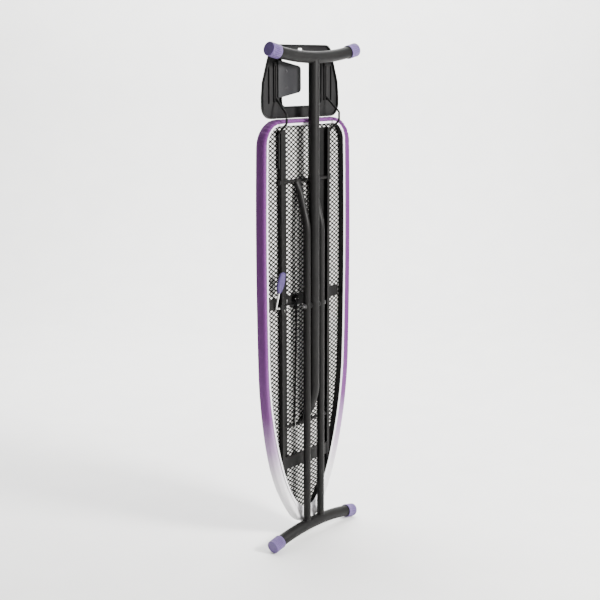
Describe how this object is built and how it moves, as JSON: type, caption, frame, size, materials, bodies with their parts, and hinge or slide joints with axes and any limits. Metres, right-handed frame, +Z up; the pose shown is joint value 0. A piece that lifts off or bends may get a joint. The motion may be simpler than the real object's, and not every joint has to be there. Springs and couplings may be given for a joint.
{
  "type": "folding ironing board",
  "caption": "Folding ironing board with padded cover, mesh top, crossed tube legs on arched foot bars, iron rest and height lever, folded upright.",
  "frame": {"origin": "middle of the footprint, on the floor, under the folded board", "axes": "+Z up along the folded board from its nose to its iron rest, +Y from the legs to the ironing surface, +X across the board"},
  "size_m": [0.4004, 0.0734, 1.4814],
  "materials": {
    "black_powder_coat": "satin",
    "black_mesh": "satin",
    "white_foam": "matt felt",
    "ombre_fabric": "woven cotton fading from purple to pale grey",
    "white_edging": "matt woven tape",
    "black_moulding": "fine moulded grain",
    "grey_plate": "satin",
    "black_plastic": "satin",
    "lilac_plastic": "satin",
    "bright_steel": "zinc plated"
  },
  "bodies": {
    "board": {"cover": "ombre_fabric", "edge_wadding": "white_foam", "foam_pad": "white_foam", "heel_axle": "black_powder_coat", "heel_axle_caps": "black_plastic", "hem_edging": "white_edging", "iron_rest": "black_moulding", "lever_bracket": "black_powder_coat", "mesh_top": "black_mesh", "mid_cross_strip": "black_powder_coat", "nose_cross_plate": "black_powder_coat", "rack_bracket": "black_powder_coat", "rack_pin": "bright_steel", "rail_left": "black_powder_coat", "rail_right": "black_powder_coat", "rest_tab": "grey_plate", "rest_wire_left": "black_powder_coat", "rest_wire_right": "black_powder_coat", "return_spring": "bright_steel", "rim_frame": "black_powder_coat", "tab_rivets": "grey_plate"},
    "twin_leg": {"twin_tube_left": "black_powder_coat", "twin_tube_right": "black_powder_coat", "twin_foot_bar": "black_powder_coat", "twin_cap_left": "lilac_plastic", "twin_cap_right": "lilac_plastic", "pivot_bolt": "bright_steel", "pivot_nuts": "bright_steel", "pivot_washers": "bright_steel", "pivot_spacers": "black_plastic"},
    "single_leg": {"single_tube": "black_powder_coat", "single_foot_bar": "black_powder_coat", "single_cap_left": "lilac_plastic", "single_cap_right": "lilac_plastic", "pivot_sleeve": "black_powder_coat", "sliding_axle": "black_powder_coat"},
    "rail_glides": {"glide_left": "black_plastic", "glide_right": "black_plastic"},
    "lever": {"lever_rod": "bright_steel", "lever_shaft": "black_powder_coat", "lever_collar": "bright_steel", "lever_grip": "lilac_plastic", "lever_finger": "black_powder_coat"},
    "rack": {"height_rack": "black_powder_coat", "rack_hook": "bright_steel"}
  },
  "joints": [
    {"name": "fold", "type": "hinge", "parent": "board", "child": "twin_leg", "pos_m": [0, 0.01925, 1.09], "axis": [-1, 0, 0], "range_deg": [0, 52]},
    {"name": "cross", "type": "hinge", "parent": "twin_leg", "child": "single_leg", "pos_m": [0, -0.01675, 0.724], "axis": [-1, 0, 0], "range_deg": [-104, 0]},
    {"name": "glide_turn", "type": "hinge", "parent": "single_leg", "child": "rail_glides", "pos_m": [0, 0.01925, 0.358], "axis": [-1, 0, 0], "range_deg": [0, 52]},
    {"name": "lever_squeeze", "type": "hinge", "parent": "board", "child": "lever", "pos_m": [0, 0.01925, 0.725], "axis": [-1, 0, 0], "range_deg": [0, 10], "stiffness_Nm_per_rad": 1, "springref_deg": -11.46},
    {"name": "rack_lift", "type": "hinge", "parent": "board", "child": "rack", "pos_m": [0, 0.011, 0.745], "axis": [-1, 0, 0], "range_deg": [0, 3]}
  ],
  "couplings": [
    {"joint": "cross", "follows": "fold", "ratio": -2},
    {"joint": "glide_turn", "follows": "fold", "ratio": 1},
    {"joint": "rack_lift", "follows": "lever_squeeze", "ratio": 0.3}
  ]
}
